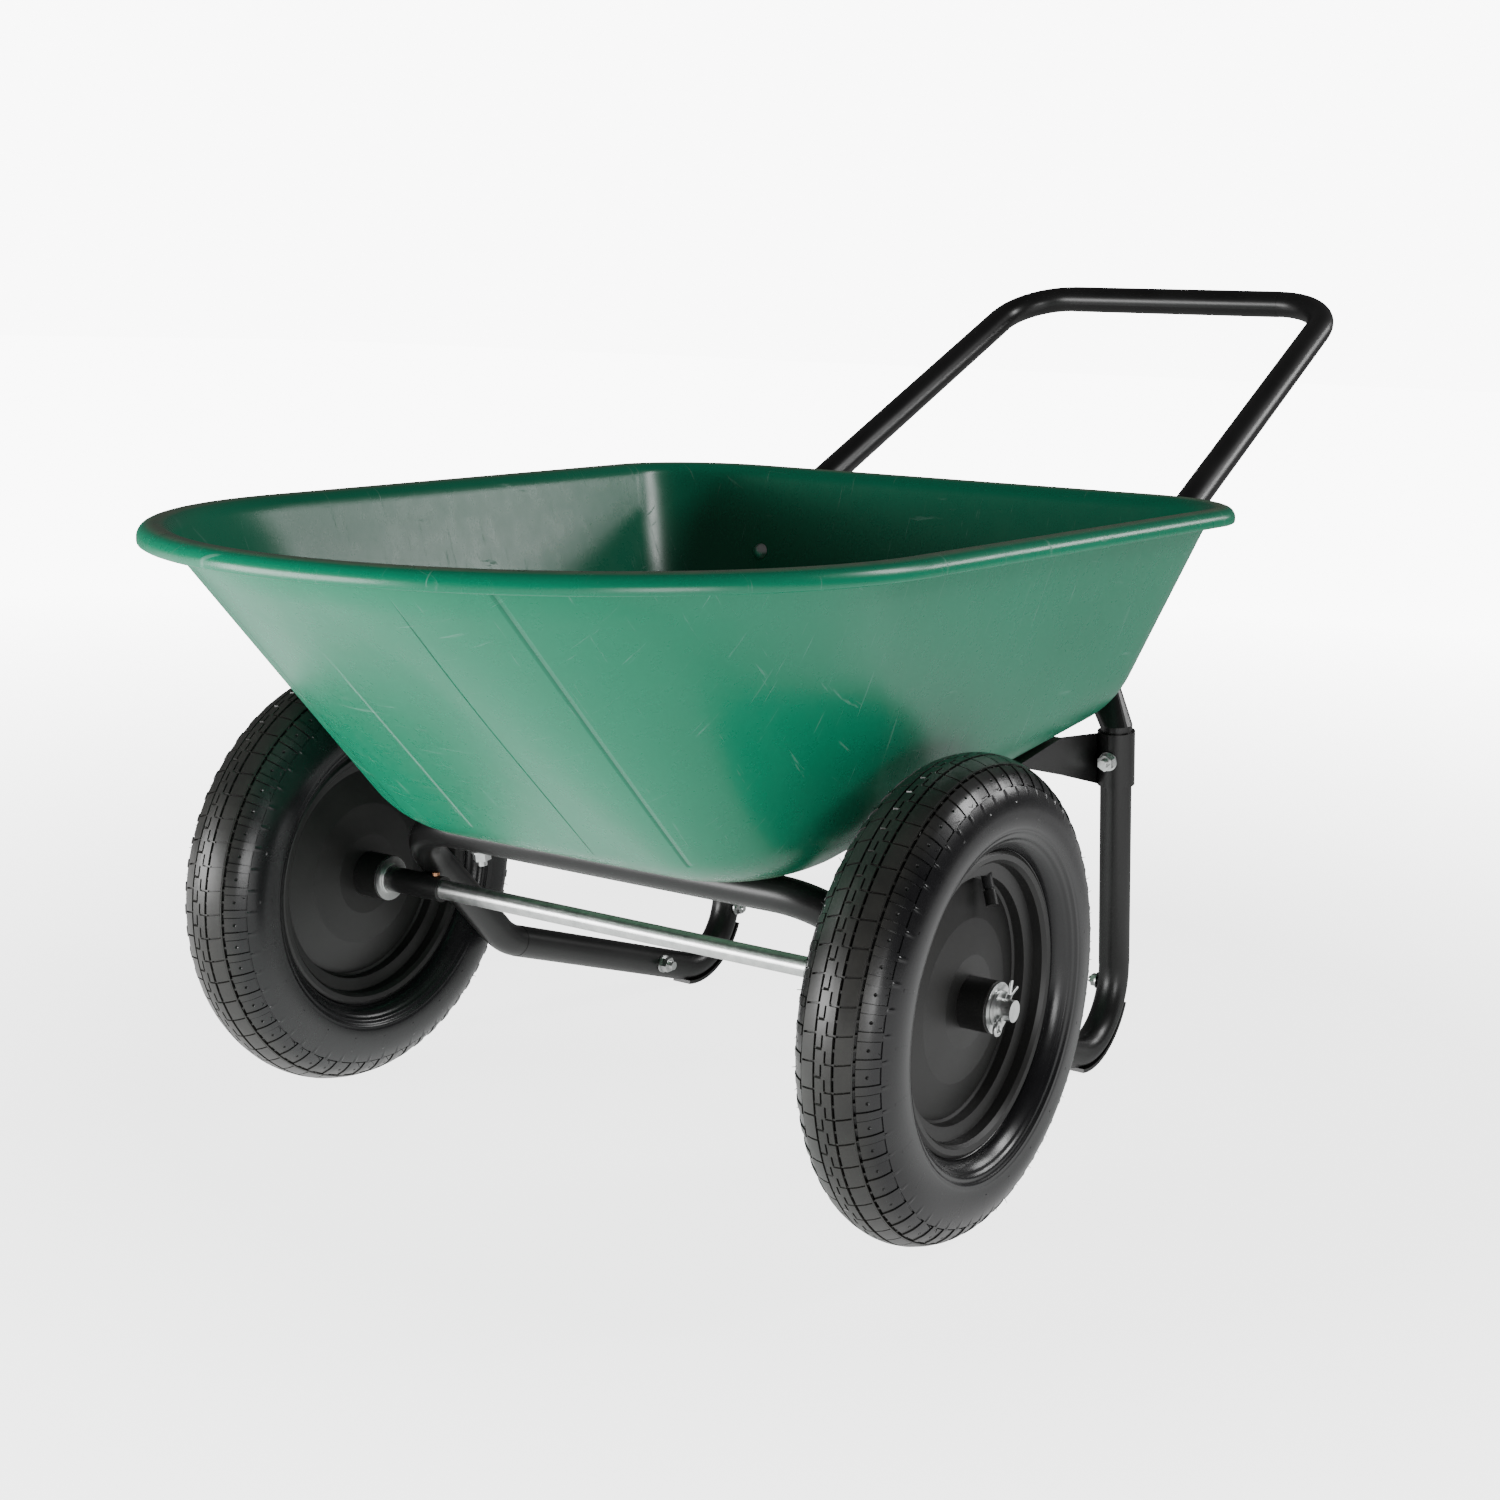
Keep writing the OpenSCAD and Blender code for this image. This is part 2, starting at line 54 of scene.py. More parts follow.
class Mat:
    """A node material with small helpers for procedural colour, roughness and relief."""

    def __init__(self, name):
        self.mat = bpy.data.materials.new(name)
        self.mat.use_nodes = True
        self.tree = self.mat.node_tree
        self.tree.nodes.clear()
        self.out = self.node("ShaderNodeOutputMaterial")
        self.bsdf = self.node("ShaderNodeBsdfPrincipled")
        self.link(self.bsdf.outputs["BSDF"], self.out.inputs["Surface"])
        self.coord = self.node("ShaderNodeTexCoord")

    def node(self, kind, **props):
        n = self.tree.nodes.new(kind)
        for k, v in props.items():
            setattr(n, k, v)
        return n

    def link(self, a, b):
        self.tree.links.new(a, b)

    def mapped(self, scale=(1, 1, 1), rotation=(0, 0, 0), offset=(0, 0, 0)):
        m = self.node("ShaderNodeMapping")
        m.inputs["Scale"].default_value = scale
        m.inputs["Rotation"].default_value = rotation
        m.inputs["Location"].default_value = offset
        self.link(self.coord.outputs["Object"], m.inputs["Vector"])
        return m.outputs["Vector"]

    def noise(self, scale, detail=4.0, rough=0.55, vector=None, distortion=0.0):
        n = self.node("ShaderNodeTexNoise")
        n.inputs["Scale"].default_value = scale
        n.inputs["Detail"].default_value = detail
        n.inputs["Roughness"].default_value = rough
        n.inputs["Distortion"].default_value = distortion
        self.link(vector if vector is not None else self.coord.outputs["Object"], n.inputs["Vector"])
        return n.outputs["Fac"]

    def ramp(self, fac, stops):
        r = self.node("ShaderNodeValToRGB")
        e = r.color_ramp.elements
        while len(e) < len(stops):
            e.new(0.5)
        for item, (pos, colour) in zip(e, stops):
            item.position = pos
            item.color = colour if len(colour) == 4 else (*colour, 1)
        self.link(fac, r.inputs["Fac"])
        return r.outputs["Color"]

    def span(self, fac, lo, hi, a=0.0, b=1.0):
        r = self.node("ShaderNodeMapRange")
        r.inputs["From Min"].default_value = a
        r.inputs["From Max"].default_value = b
        r.inputs["To Min"].default_value = lo
        r.inputs["To Max"].default_value = hi
        self.link(fac, r.inputs["Value"])
        return r.outputs["Result"]

    def math(self, op, a, b=None, clamp=False):
        m = self.node("ShaderNodeMath", operation=op, use_clamp=clamp)
        for i, v in enumerate((a, b)):
            if v is None:
                continue
            if isinstance(v, (int, float)):
                m.inputs[i].default_value = v
            else:
                self.link(v, m.inputs[i])
        return m.outputs[0]

    def mix(self, fac, a, b):
        m = self.node("ShaderNodeMix", data_type="RGBA")
        for key, v in (("Factor", fac), ("A", a), ("B", b)):
            s = [i for i in m.inputs if i.name == key and i.enabled][0]
            if isinstance(v, (int, float)):
                s.default_value = v
            elif isinstance(v, tuple):
                s.default_value = (*v, 1) if len(v) == 3 else v
            else:
                self.link(v, s)
        return [o for o in m.outputs if o.enabled][0]

    def bump(self, height, strength, distance, normal=None):
        b = self.node("ShaderNodeBump")
        b.inputs["Strength"].default_value = strength
        b.inputs["Distance"].default_value = distance
        self.link(height, b.inputs["Height"])
        if normal is not None:
            self.link(normal, b.inputs["Normal"])
        return b.outputs["Normal"]

    def set(self, **values):
        names = {"color": "Base Color", "rough": "Roughness", "metal": "Metallic", "normal": "Normal",
                 "ior": "IOR", "specular": "Specular IOR Level"}
        for k, v in values.items():
            s = self.bsdf.inputs[names[k]]
            if isinstance(v, (int, float)):
                s.default_value = v
            elif isinstance(v, tuple):
                s.default_value = (*v, 1)
            else:
                self.link(v, s)
        return self.mat


# lines down the tray's front wall (painted highlight on the ridge, painted shade in the grooves): where each
# starts ahead of the axle, its Y there, its drift in Y per length, where it ends, its half width, and
# whether it stands proud or is scored in
CREASES = [
    (0.118, -0.0613, 0.123, 0.292, 0.0020, "ridge_relief_and_highlight"),
    (0.112, 0.0490, 0.074, 0.345, 0.0007, "groove_relief_and_shade"),
    (0.112, 0.1336, -0.004, 0.350, 0.0028, "groove_relief_and_shade"),
    (0.112, -0.1336, 0.004, 0.350, 0.0028, "groove_relief_and_shade")]


def tray_material():
    m = Mat("tray_plastic")
    xyz = m.node("ShaderNodeSeparateXYZ")
    m.link(m.coord.outputs["Object"], xyz.inputs[0])
    x, y, z = xyz.outputs[0], xyz.outputs[1], xyz.outputs[2]
    broad = m.noise(3.5, 3, 0.5)
    fine = m.noise(60, 5, 0.6)
    mottle = m.noise(22, 5, 0.7)
    # two families of fine scratches
    fall = m.span(m.noise(1.0, 5, 0.6, m.mapped((300, 14, 14), (0.3, 0.5, 0.9))), 0, 1, 0.64, 0.70)
    drag = m.span(m.noise(1.0, 5, 0.6, m.mapped((16, 340, 22), (0.8, -0.4, 0.2))), 0, 1, 0.66, 0.71)
    lines = m.math("MAXIMUM", fall, drag)
    body = m.ramp(broad, [(0.3, (0.000, 0.190, 0.096)), (0.7, (0.000, 0.228, 0.118))])
    body = m.mix(m.span(mottle, 0, 0.22, 0.5, 0.8), body, (0.006, 0.215, 0.122))
    wear_and_painted_light = m.mix(m.math("MULTIPLY", lines, 0.30), body, (0.22, 0.42, 0.34))
    # the rim's crest and the bottom edge are rubbed and a little dusty
    ahead = m.math("SUBTRACT", x, AXLE.x)
    crest = m.math("ADD", z, m.math("MULTIPLY", ahead, math.tan(RIM_TILT)))
    rub = m.span(crest, 0, 1, 0.5008, 0.5022)
    under = m.math("ADD", z, m.math("MULTIPLY", ahead, math.tan(FLOOR_TILT)))
    patches = m.span(m.noise(90, 5, 0.7), 0.2, 1, 0.4, 0.6)
    scuff = m.math("MULTIPLY", m.span(under, 1, 0, 0.262, 0.274), patches)
    both = m.math("MAXIMUM", m.math("MULTIPLY", rub, 0.55), m.math("MULTIPLY", scuff, 0.6))
    dirt = m.math("MULTIPLY", both, m.span(m.noise(40, 6, 0.7), 0.5, 1, 0.35, 0.65))
    wear_and_painted_light = m.mix(dirt, wear_and_painted_light, (0.33, 0.28, 0.20))
    ridge_relief_and_highlight, groove_relief_and_shade = None, None
    for start, y_start, drift, end, half_width, kind in CREASES:
        run = m.math("SUBTRACT", x, AXLE.x + start)
        line = m.math("ADD", m.math("MULTIPLY", run, drift), y_start)
        off = m.math("ABSOLUTE", m.math("SUBTRACT", y, line))
        fade_in = m.span(x, 0, 1, AXLE.x + start - 0.002, AXLE.x + start)
        fade_out = m.span(x, 1, 0, AXLE.x + end - 0.03, AXLE.x + end)
        along = m.math("MULTIPLY", fade_in, fade_out)
        mark = m.math("MULTIPLY", m.span(off, 1, 0, 0, half_width), along)
        if kind == "ridge_relief_and_highlight":
            ridge_relief_and_highlight = mark
        else:
            groove_relief_and_shade = mark if groove_relief_and_shade is None else m.math("MAXIMUM", groove_relief_and_shade, mark)
    # painted highlight on the ridge line and painted shade in the grooves, as a lighter and a near-black
    # green on top of their bumps
    wear_and_painted_light = m.mix(m.math("MULTIPLY", ridge_relief_and_highlight, 0.60), wear_and_painted_light, (0.22, 0.48, 0.36))
    wear_and_painted_light = m.mix(m.math("MULTIPLY", groove_relief_and_shade, 0.38), wear_and_painted_light, (0.000, 0.055, 0.030))
    rough = m.math("ADD", m.span(fine, 0.23, 0.33), m.math("MULTIPLY", lines, 0.15))
    orange = m.bump(m.noise(420, 2, 0.5), 0.04, 0.0003)
    wavy = m.bump(m.noise(5, 1, 0.5), 0.20, 0.004, orange)
    raised = m.bump(ridge_relief_and_highlight, 0.8, 0.0012, wavy)
    scored = m.bump(m.math("SUBTRACT", 1.0, groove_relief_and_shade), 0.8, 0.0010, raised)
    return m.set(color=wear_and_painted_light, rough=rough, normal=m.bump(lines, 0.2, 0.0003, scored), ior=1.5, specular=0.5)


def black_coat():
    m = Mat("black_coat")
    fine = m.noise(900, 3, 0.6)
    broad = m.noise(14, 4, 0.6)
    colour = m.ramp(broad, [(0.35, (0.006, 0.006, 0.006)), (0.7, (0.011, 0.011, 0.011))])
    rough = m.span(broad, 0.28, 0.38)
    return m.set(color=colour, rough=rough, normal=m.bump(fine, 0.12, 0.0002), ior=1.5, specular=0.5)


def rim_black():
    m = Mat("rim_black")
    broad = m.noise(18, 4, 0.6)
    fine = m.noise(700, 2, 0.5)
    colour = m.ramp(broad, [(0.3, (0.007, 0.007, 0.007)), (0.75, (0.014, 0.014, 0.013))])
    dust = m.span(m.noise(160, 6, 0.75), 0, 1, 0.62, 0.8)
    colour = m.mix(m.math("MULTIPLY", dust, 0.10), colour, (0.16, 0.15, 0.13))
    rough = m.span(broad, 0.36, 0.5)
    return m.set(color=colour, rough=rough, normal=m.bump(fine, 0.06, 0.0002), ior=1.5, specular=0.5)


def zinc():
    m = Mat("zinc_plate")
    spangle = m.noise(90, 4, 0.7)
    streak = m.noise(1.0, 3, 0.6, m.mapped((60, 900, 60)))
    colour = m.ramp(spangle, [
        (0.25, (0.50, 0.52, 0.52)), (0.6, (0.72, 0.73, 0.72)), (0.9, (0.86, 0.86, 0.84))])
    rough = m.math("ADD", m.span(spangle, 0.20, 0.36), m.span(streak, 0.0, 0.06))
    return m.set(color=colour, rough=rough, metal=1.0, normal=m.bump(streak, 0.08, 0.0002))


def copper():
    m = Mat("copper_plate")
    n = m.noise(300, 3, 0.6)
    colour = m.ramp(n, [(0.3, (0.42, 0.20, 0.11)), (0.7, (0.62, 0.33, 0.19))])
    return m.set(color=colour, rough=m.span(n, 0.28, 0.42), metal=1.0)


def tyre_rubber():
    m = Mat("tyre_rubber")
    # distance from the axle decides tread or sidewall
    split = m.node("ShaderNodeSeparateXYZ")
    m.link(m.coord.outputs["Object"], split.inputs[0])
    dx = m.math("SUBTRACT", split.outputs[0], AXLE.x)
    dz = m.math("SUBTRACT", split.outputs[2], AXLE.z)
    radius = m.math("SQRT", m.math("ADD", m.math("MULTIPLY", dx, dx), m.math("MULTIPLY", dz, dz)))
    tread = m.span(radius, 0, 1, 0.163, 0.171)
    cloud = m.noise(26, 5, 0.65)
    grit = m.noise(600, 4, 0.7)
    side = m.ramp(cloud, [(0.3, (0.006, 0.006, 0.007)), (0.7, (0.012, 0.012, 0.013))])
    dusty = m.ramp(cloud, [(0.3, (0.017, 0.017, 0.016)), (0.7, (0.032, 0.031, 0.028))])
    colour = m.mix(tread, side, dusty)
    speck = m.span(m.noise(240, 6, 0.8), 0, 1, 0.64, 0.80)
    colour = m.mix(m.math("MULTIPLY", speck, 0.18), colour, (0.20, 0.19, 0.16))
    rough = m.math("ADD", m.span(cloud, 0.20, 0.32), m.math("MULTIPLY", tread, 0.08))
    # faint rings beside the bead and a few short radial lines on the sidewall
    angle = m.math("ARCTAN2", dz, dx)
    spoke = m.math("GREATER_THAN", m.math("SINE", m.math("MULTIPLY", angle, 24.0)), 0.985)
    band = m.math("MULTIPLY", m.span(radius, 0, 1, 0.1360, 0.1368), m.span(radius, 1, 0, 0.1475, 0.1485))
    rings = m.math("SINE", m.math("MULTIPLY", radius, 1250.0))
    near_bead = m.math("MULTIPLY", m.span(radius, 0, 1, 0.117, 0.120), m.span(radius, 1, 0, 0.127, 0.130))
    bead_rings = m.math("MULTIPLY", rings, m.math("MULTIPLY", near_bead, 0.5))
    relief = m.math("ADD", m.math("MULTIPLY", spoke, band), bead_rings)
    ribbed = m.bump(relief, 0.6, 0.0006, m.bump(grit, 0.10, 0.0003))
    return m.set(color=colour, rough=rough, normal=ribbed, ior=1.52, specular=0.5)


def soft_rubber():
    m = Mat("tube_rubber")
    n = m.noise(120, 4, 0.6)
    colour = m.ramp(n, [(0.3, (0.012, 0.012, 0.013)), (0.7, (0.022, 0.022, 0.023))])
    return m.set(color=colour, rough=m.span(n, 0.38, 0.52), ior=1.5)


def cap_plastic():
    m = Mat("cap_plastic")
    n = m.noise(200, 3, 0.6)
    colour = m.ramp(n, [(0.3, (0.010, 0.010, 0.010)), (0.7, (0.018, 0.018, 0.018))])
    return m.set(color=colour, rough=m.span(n, 0.30, 0.42), ior=1.48)


MATS = {
    "tray_plastic": tray_material(),
    "black_coat": black_coat(),
    "rim_black": rim_black(),
    "zinc_plate": zinc(),
    "copper_plate": copper(),
    "tyre_rubber": tyre_rubber(),
    "tube_rubber": soft_rubber(),
    "cap_plastic": cap_plastic()}
SLOT = {s["node"]: s["material_slot"] for s in frame["record"]["subparts"]}


def dress(obj, slot):
    obj.data.materials.clear()
    obj.data.materials.append(MATS[slot])


for name, obj in nodes.items():
    dress(obj, SLOT[name])


def mesh_object(name, bm, body, slot, stands_for=(), smooth=True):
    mesh = bpy.data.meshes.new(name)
    bm.to_mesh(mesh)
    bm.free()
    for p in mesh.polygons:
        p.use_smooth = smooth
    obj = bpy.data.objects.new(name, mesh)
    bpy.context.scene.collection.objects.link(obj)
    dress(obj, slot)
    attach(obj, body)
    if stands_for:
        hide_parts(*stands_for)
    return obj


# ---------------------------------------------------------------- tray

NOSE = (0.0769, 0.0, 0.2936)
REAR = (-0.3881, 0.2074, 0.0991)
RIM_PLAN = [NOSE, NOSE, REAR, (REAR[0], -REAR[1], REAR[2])]
FLOOR_PLAN = [
    (0.0162, -0.1026, 0.0414), (0.0162, 0.1026, 0.0414), (-0.353, 0.1658, 0.002), (-0.353, -0.1658, 0.002)]
ROUND_R = 0.0888
CORE_Z = 0.2559 + ROUND_R / math.cos(FLOOR_TILT)
RIM_Z = 0.5023
WALL_T = 0.004
# the rolled rim in mm, as outward growth and height: out under the lip, over the crest and down inside
RIM_SECTION = [
    (-12.7, -16), (-12.1, -12), (-10.8, -9.5), (-9.0, -7.3), (-7, -6), (-4, -5.0), (-1, -4.6), (1.8, -4.7),
    (4, -5.2), (5.6, -6.3), (6.6, -8), (7.0, -10.4), (7.2, -13.2), (8.2, -13.9), (9.6, -13.8), (10.6, -13.2),
    (11, -12.2), (11, -10.4), (11, -8.6), (10.5, -6.6), (9.6, -4.8), (8.3, -3.1), (6.8, -1.9), (5.0, -1.0),
    (3, -0.4), (0.8, -0.1), (-1.5, 0), (-4, -0.2), (-6.5, -0.8), (-9.1, -1.8), (-11.4, -3.4), (-13.4, -5.4),
    (-14.8, -7.6), (-15.9, -10.2), (-16.7, -13)]


def plan_point(plan, c, a, g):
    return (plan[c][0] + (plan[c][2] + g) * math.cos(a), plan[c][1] + (plan[c][2] + g) * math.sin(a))


def tilted(p, h, z0, tilt):
    c, s = math.cos(tilt), math.sin(tilt)
    return Vector((p[0] * c + h * s, p[1], z0 + h * c - p[0] * s))


def sweep(c, a):
    d = (tilted(plan_point(RIM_PLAN, c, a, -0.0127), -0.016, RIM_Z, RIM_TILT)
         - tilted(plan_point(FLOOR_PLAN, c, a, 0), 0, CORE_Z, FLOOR_TILT))
    outward = Vector((math.cos(a) * math.cos(FLOOR_TILT), math.sin(a), -math.cos(a) * math.sin(FLOOR_TILT)))
    out = d.dot(outward)
    up = d.dot(Vector((math.sin(FLOOR_TILT), 0, math.cos(FLOOR_TILT))))
    return math.pi / 2 + math.atan2(up, out) - math.acos(ROUND_R / math.hypot(up, out))


def build_tray():
    steps, round_steps, wall_steps = 40, 14, 10
    around = [(c, math.pi / 2 * (c - 1 + i / steps)) for c in range(4) for i in range(steps + 1)]
    # the straight runs between corner arcs are filled with extra columns
    cols = []
    for k, (c, a) in enumerate(around):
        cols.append((c, a, c, a, 0.0))
        n = around[(k + 1) % len(around)]
        if n[0] != c:
            for j in range(1, 16):
                cols.append((c, a, n[0], n[1], j / 16))

    def at(fn, col):
        c, a, c2, a2, f = col
        return fn(c, a) if f == 0 else fn(c, a).lerp(fn(c2, a2), f)

    def bottom(t, k):
        def fn(c, a):
            turn = sweep(c, a) * k / round_steps
            r = ROUND_R - t
            p = plan_point(FLOOR_PLAN, c, a, r * math.sin(turn))
            return tilted(p, -r * math.cos(turn), CORE_Z, FLOOR_TILT)
        return [at(fn, col) for col in cols]

    def rim(g, h):
        def fn(c, a):
            return tilted(plan_point(RIM_PLAN, c, a, g * MM), h * MM, RIM_Z, RIM_TILT)
        return [at(fn, col) for col in cols]

    def between(lo, hi):
        return [[p.lerp(q, j / wall_steps) for p, q in zip(lo, hi)] for j in range(1, wall_steps)]

    outer = [bottom(0, k) for k in range(round_steps + 1)]
    lip = [rim(g, h) for g, h in RIM_SECTION]
    inner = [bottom(WALL_T, k) for k in range(round_steps, -1, -1)]
    rings = outer + between(outer[-1], lip[0]) + lip + between(lip[-1], inner[0]) + inner
    bm = bmesh.new()
    shift = Vector((AXLE.x, 0, 0))
    verts = [[bm.verts.new(p + shift) for p in ring] for ring in rings]
    n = len(cols)
    for lo, hi in zip(verts, verts[1:]):
        for i in range(n):
            j = (i + 1) % n
            bm.faces.new((lo[i], lo[j], hi[j], hi[i]))
    bm.faces.new(list(reversed(verts[0])))
    bm.faces.new(verts[-1])
    bmesh.ops.remove_doubles(bm, verts=bm.verts, dist=1e-6)
    bmesh.ops.recalc_face_normals(bm, faces=bm.faces)
    return bm


mesh_object("tray_shell", build_tray(), "chassis", "tray_plastic", ["tray"])


# ---------------------------------------------------------------- tyres

PITCHES = 57
CROWN_R = 138.0
SECTION_R = 39.5


# where each band of the tread ends, in mm round the section from the centre line
MIDDLE_BAND, FIRST_GROOVE, INNER_BLOCKS, BLOCK_LIP = 6.3, 8.1, 19.4, 20.6
SECOND_GROOVE, SHOULDER_BLOCKS, SHOULDER_CUT, SIDE_LINES = 22.4, 39.5, 40.6, 47


def smooth_step(x, lo, hi):
    t = min(1.0, max(0.0, (x - lo) / (hi - lo)))
    return t * t * (3 - 2 * t)


def tread_depth(s, t):
    """How far below the crown circle the tread lies, in mm.

    s is mm round the section from the centre, t runs 0 to 1 over a pitch.
    """
    a = abs(s)
    half = (t * 2) % 1.0
    bridge = half < 0.10 or half > 0.90
    if a < MIDDLE_BAND:
        # middle band: a wavering slit with short cuts to alternate sides
        lane = 1.5 if t < 0.5 else -1.5
        if abs(s - lane) < 0.55 and not bridge:
            return 2.6
        if min(abs(half), abs(1 - half)) < 0.07 and (s > 1.0 if t < 0.25 or t > 0.75 else s < -1.0):
            return 1.6
        return 0.0
    if a < FIRST_GROOVE:
        return 1.2 if bridge else 4.2
    if a < INNER_BLOCKS:
        return 2.2 if min(t, 1 - t) < 0.035 else 0.15
    if a < BLOCK_LIP:
        return 0.35
    if a < SECOND_GROOVE:
        return 1.4 if bridge else 4.4
    if a < SHOULDER_BLOCKS:
        u = abs(t - 0.5)
        if u < 0.30:
            dot = math.hypot((t - 0.5) * 18.0, a - 30.5)
            if dot < 1.1:
                return 1.9
            return 0.95 + 0.25 * smooth_step(a, 30, 39)
        if u < 0.345:
            return 2.3
        return 0.15 + 0.4 * smooth_step(a, 30, SHOULDER_BLOCKS)
    if a < SHOULDER_CUT:
        return 2.0 if abs(t - 0.5) < 0.345 else 0.7
    if a < SIDE_LINES:
        line = min(t, 1 - t) < 0.05
        fade = smooth_step(a, SHOULDER_CUT, SIDE_LINES)
        return 0.9 - (0.55 * (1 - fade) if line else 0.0)
    return 0.9


# stops round the section, in mm, and along one pitch, just either side of each edge in the tread
S_STOPS = [
    0, 0.7, 1.0, 2.0, 2.1, 6.2, 6.4, 8.0, 8.2, 13.5, 19.3, 19.5, 20.5, 20.7, 22.3, 22.5, 26,
    29.2, 29.8, 30.5, 31.2, 31.8, 35, 39.4, 39.6, 40.5, 40.7, 43.5, 47, 50, 53, 56, 59, 62.05]
T_STOPS = [0.0, 0.034, 0.036, 0.07, 0.154, 0.156, 0.199, 0.201, 0.30, 0.43, 0.449, 0.451, 0.5, 0.549, 0.551,
           0.57, 0.70, 0.799, 0.801, 0.844, 0.846, 0.93, 0.964, 0.966]
# radius and distance from the wheel's plane, in mm, down the sidewall, round the bead and back up inside
BEAD = [
    (131, 38.5), (126.5, 37.0), (121.5, 34.4), (116.8, 31.0), (113.6, 27.6), (112.2, 24.8), (111.6, 22.2),
    (109.5, 20.5), (104.5, 19.5), (103.2, 11.4), (108, 13.5), (124, 28), (145, 31.8), (163, 20), (168.6, 0)]


def slant(s):
    a = abs(s)
    lean = 0.10 * max(0.0, a - 8) / 12 if a < 22 else 0.10 * 14 / 12
    return lean if s > 0 else -lean


def build_tyre(side):
    bm = bmesh.new()
    stops = [-x for x in reversed(S_STOPS[1:])] + S_STOPS
    inner = [(r, v) for r, v in BEAD] + [(r, -v) for r, v in reversed(BEAD[:-1])]
    rows = []
    for k in range(PITCHES):
        for t in T_STOPS:
            row = []
            for s in stops:
                phi = s / SECTION_R
                d = tread_depth(s, t)
                r = CROWN_R + (SECTION_R - d) * math.cos(phi)
                v = (SECTION_R - d) * math.sin(phi)
                a = 2 * math.pi * (k + t + slant(s)) / PITCHES
                row.append((r, v, a))
            a = 2 * math.pi * (k + t) / PITCHES
            for r, v in inner:
                row.append((r, v, a))
            y = side * TRACK
            rows.append([
                bm.verts.new((AXLE.x + r * MM * math.cos(a), y + v * MM, AXLE.z + r * MM * math.sin(a)))
                for r, v, a in row])
    n = len(rows[0])
    for i, row in enumerate(rows):
        nxt = rows[(i + 1) % len(rows)]
        for j in range(n):
            jj = (j + 1) % n
            bm.faces.new((row[j], row[jj], nxt[jj], nxt[j]))
    bmesh.ops.recalc_face_normals(bm, faces=bm.faces)
    return bm


def crisp(obj, angle):
    """Smooth shading that keeps edges sharper than the angle."""
    obj.data.set_sharp_from_angle(angle=math.radians(angle))


for side, tag in ((1, "left"), (-1, "right")):
    tyre = mesh_object("tyre_tread_" + tag, build_tyre(side), "wheel_" + tag, "tyre_rubber", ["tyre_" + tag])
    crisp(tyre, 24)


def build_whiskers(side):
    """Thin rubber hairs left by the mould's vents, leaning at random off both shoulders."""
    rng = random.Random(11 + side)
    bm = bmesh.new()
    for k in range(PITCHES):
        for s in (-39.0, -21.5, 21.5, 39.0):
            if rng.random() < 0.35:
                continue
            a = 2 * math.pi * (k + 0.5 + slant(s) + rng.uniform(-0.2, 0.2)) / PITCHES
            phi = s / SECTION_R
            lean = phi * 0.55 + rng.uniform(-0.35, 0.35)
            long = rng.uniform(2.0, 4.2) if abs(s) > 30 else rng.uniform(1.2, 2.0)
            radial, out = math.cos(phi), math.sin(phi)
            foot = (CROWN_R + (SECTION_R - 1.6) * radial, (SECTION_R - 1.6) * out)
            tip = (min(177.3, foot[0] + long * math.cos(lean)), foot[1] + long * math.sin(lean))
            turn = rng.uniform(-0.012, 0.012)
            ends = []
            for (r, v), w, spin in ((foot, 0.38, 0.0), (tip, 0.20, turn)):
                ring = []
                for q in range(4):
                    b = math.pi / 2 * q
                    rr, vv = r + w * math.cos(b) * -math.sin(lean), v + w * math.cos(b) * math.cos(lean)
                    aa = a + spin + w * math.sin(b) / r
                    x, z = AXLE.x + rr * MM * math.cos(aa), AXLE.z + rr * MM * math.sin(aa)
                    ring.append(bm.verts.new((x, side * TRACK + vv * MM, z)))
                ends.append(ring)
            for q in range(4):
                bm.faces.new((ends[0][q], ends[0][(q + 1) % 4], ends[1][(q + 1) % 4], ends[1][q]))
            bm.faces.new(list(reversed(ends[0])))
            bm.faces.new(ends[1])
    bmesh.ops.recalc_face_normals(bm, faces=bm.faces)
    return bm


for side, tag in ((1, "left"), (-1, "right")):
    mesh_object("tyre_whiskers_" + tag, build_whiskers(side), "wheel_" + tag, "tyre_rubber", smooth=False)


# ---------------------------------------------------------------- stage, light, camera

def area(name, loc, target, w, h, power):
    data = bpy.data.lights.new(name, "AREA")
    data.shape = "RECTANGLE"
    data.size, data.size_y = w, h
    data.energy = power
    o = bpy.data.objects.new(name, data)
    o.location = loc
    o.rotation_euler = (Vector(target) - Vector(loc)).to_track_quat("-Z", "Y").to_euler()
    bpy.context.scene.collection.objects.link(o)


bm = bmesh.new()
bmesh.ops.create_grid(bm, x_segments=1, y_segments=1, size=30)
mesh = bpy.data.meshes.new("floor")
bm.to_mesh(mesh)
bm.free()
floor = bpy.data.objects.new("floor", mesh)
bpy.context.scene.collection.objects.link(floor)
fm = Mat("floor_pale_with_painted_glow")
floor_noise = fm.noise(2.0, 3, 0.5)
fm.bsdf.inputs["Emission Color"].default_value = (1, 1, 1, 1)
far = fm.node("ShaderNodeVectorMath", operation="LENGTH")
fm.link(fm.coord.outputs["Object"], far.inputs[0])
seen = fm.node("ShaderNodeLightPath").outputs["Is Camera Ray"]
glow = fm.span(far.outputs["Value"], 3.2, 9.5, 0.6, 3.4)
